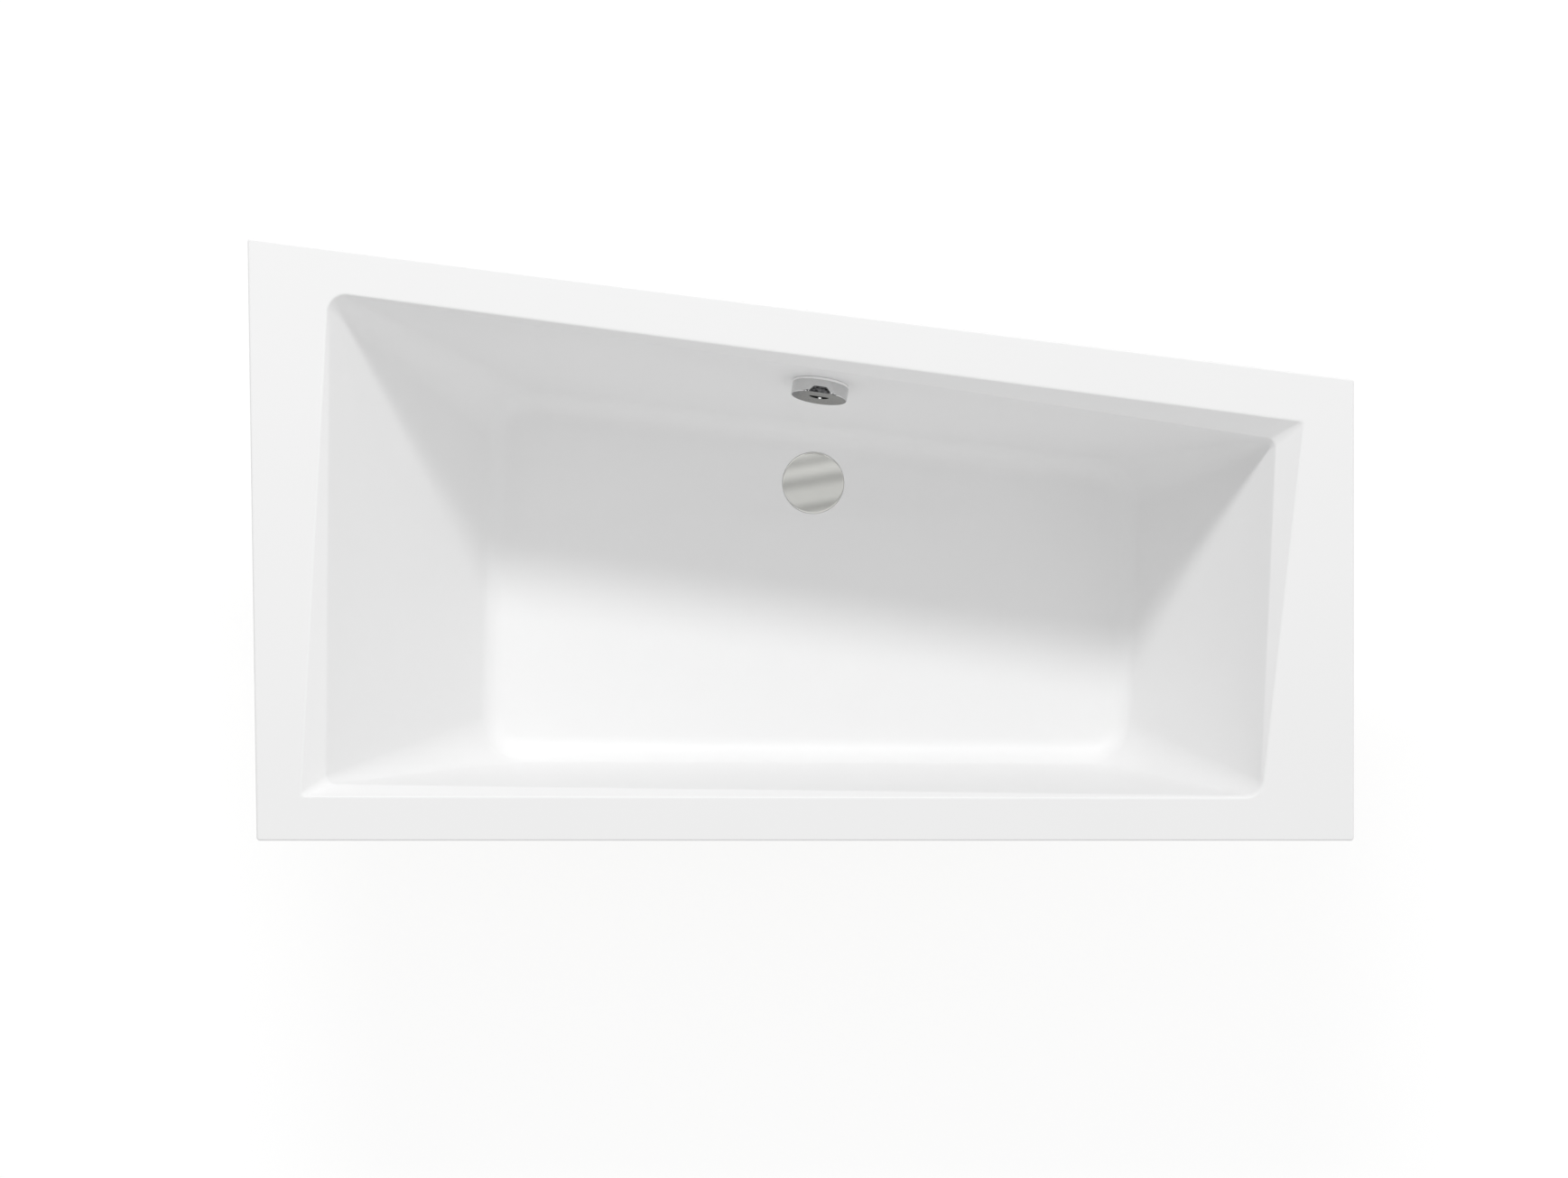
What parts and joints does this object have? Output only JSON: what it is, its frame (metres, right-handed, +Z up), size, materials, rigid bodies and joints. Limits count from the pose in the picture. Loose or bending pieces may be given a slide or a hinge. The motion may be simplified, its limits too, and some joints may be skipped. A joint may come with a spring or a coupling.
{
  "type": "acrylic bathtub",
  "caption": "Asymmetric built-in acrylic bathtub with a turned, faceted basin, flat deck, rotary overflow knob, pop-up waste, trap and levelling feet.",
  "frame": {"origin": "on the ground, below the middle of the rim's bounding box", "axes": "+X along the straight front side towards the narrow end, +Y from the front side to the slanted back side, +Z up out of the basin"},
  "size_m": [1.7, 0.9252, 0.6],
  "materials": {
    "acrylic": "gloss white sanitary acrylic",
    "laminate": "rough glass-fibre laminate",
    "board": "raw chipboard",
    "batten": "planed softwood",
    "rail": "galvanised sheet steel",
    "zinc_steel": "zinc-plated steel",
    "foot_plastic": "black moulded plastic",
    "chrome": "polished chrome",
    "flange_plastic": "satin chromed plastic",
    "seal_rubber": "black rubber",
    "fitting_plastic": "white moulded polypropylene",
    "hose": "grey ribbed plastic",
    "sheath": "black cable sheath",
    "nylon": "natural nylon",
    "dark_steel": "blackened steel"
  },
  "bodies": {
    "tub": {"tub_shell": "acrylic", "laminate": "laminate", "base_board": "board", "rim_batten_back": "batten", "rim_batten_right": "batten", "rim_batten_front": "batten", "rim_batten_left": "batten", "leg_rail_left": "rail", "leg_rail_right": "rail", "rail_screws": "zinc_steel", "waste_flange": "chrome", "waste_seal": "seal_rubber", "waste_gasket": "seal_rubber", "waste_body": "fitting_plastic", "lever_pin": "zinc_steel", "trap_bend_pipe": "fitting_plastic", "trap_inlet_nut": "fitting_plastic", "trap_inlet_seal": "seal_rubber", "trap_outlet_nut": "fitting_plastic", "trap_outlet_seal": "seal_rubber", "outlet_pipe": "fitting_plastic", "overflow_body": "fitting_plastic", "overflow_gasket": "seal_rubber", "overflow_flange": "flange_plastic", "overflow_hose": "hose", "hose_upper_nut": "fitting_plastic", "hose_lower_nut": "fitting_plastic", "cable": "sheath"},
    "knob": {"overflow_knob": "chrome", "knob_spindle": "zinc_steel", "knob_crank": "nylon", "knob_grub_screw": "dark_steel"},
    "plug": {"plug_cover": "chrome", "plug_stem": "chrome", "plug_seal": "seal_rubber"},
    "lever": {"lift_lever": "nylon"},
    "foot_left_front": {"foot_rod_left_front": "zinc_steel", "foot_pad_left_front": "foot_plastic"},
    "nuts_left_front": {"foot_nuts_left_front": "zinc_steel"},
    "foot_left_back": {"foot_rod_left_back": "zinc_steel", "foot_pad_left_back": "foot_plastic"},
    "nuts_left_back": {"foot_nuts_left_back": "zinc_steel"},
    "foot_right_front": {"foot_rod_right_front": "zinc_steel", "foot_pad_right_front": "foot_plastic"},
    "nuts_right_front": {"foot_nuts_right_front": "zinc_steel"},
    "foot_right_back": {"foot_rod_right_back": "zinc_steel", "foot_pad_right_back": "foot_plastic"},
    "nuts_right_back": {"foot_nuts_right_back": "zinc_steel"}
  },
  "joints": [
    {"name": "knob_turn", "type": "hinge", "parent": "tub", "child": "knob", "pos_m": [0.03196, 0.24516, 0.493], "axis": [-0.142, -0.9734, 0.1799], "range_deg": [0, 90]},
    {"name": "plug_lift", "type": "slide", "parent": "tub", "child": "plug", "axis": [0, 0, 1], "range_m": [0, 0.01]},
    {"name": "lever_tilt", "type": "hinge", "parent": "tub", "child": "lever", "pos_m": [0.04396, 0.09735, 0.112], "axis": [0, 1, 0], "range_deg": [0, 26.3]},
    {"name": "foot_slide_left_front", "type": "slide", "parent": "tub", "child": "foot_left_front", "axis": [0, 0, -1], "range_m": [0, 0.035]},
    {"name": "foot_slide_left_back", "type": "slide", "parent": "tub", "child": "foot_left_back", "axis": [0, 0, -1], "range_m": [0, 0.035]},
    {"name": "foot_slide_right_front", "type": "slide", "parent": "tub", "child": "foot_right_front", "axis": [0, 0, -1], "range_m": [0, 0.035]},
    {"name": "foot_slide_right_back", "type": "slide", "parent": "tub", "child": "foot_right_back", "axis": [0, 0, -1], "range_m": [0, 0.035]},
    {"name": "nuts_turn_left_front", "type": "hinge", "parent": "tub", "child": "nuts_left_front", "pos_m": [-0.35004, -0.39726, 0.14], "axis": [0, 0, 1], "range_deg": [0, 7200]},
    {"name": "nuts_turn_left_back", "type": "hinge", "parent": "tub", "child": "nuts_left_back", "pos_m": [-0.35004, 0.27362, 0.14], "axis": [0, 0, 1], "range_deg": [0, 7200]},
    {"name": "nuts_turn_right_front", "type": "hinge", "parent": "tub", "child": "nuts_right_front", "pos_m": [0.38996, -0.40012, 0.14], "axis": [0, 0, 1], "range_deg": [0, 7200]},
    {"name": "nuts_turn_right_back", "type": "hinge", "parent": "tub", "child": "nuts_right_back", "pos_m": [0.38996, 0.18418, 0.14], "axis": [0, 0, 1], "range_deg": [0, 7200]}
  ],
  "couplings": [
    {"joint": "plug_lift", "follows": "knob_turn", "m_per_rad": 0.0063662},
    {"joint": "lever_tilt", "follows": "knob_turn", "ratio": 0.29192},
    {"joint": "nuts_turn_left_front", "follows": "foot_slide_left_front", "rad_per_m": 3590.4},
    {"joint": "nuts_turn_left_back", "follows": "foot_slide_left_back", "rad_per_m": 3590.4},
    {"joint": "nuts_turn_right_front", "follows": "foot_slide_right_front", "rad_per_m": 3590.4},
    {"joint": "nuts_turn_right_back", "follows": "foot_slide_right_back", "rad_per_m": 3590.4}
  ]
}
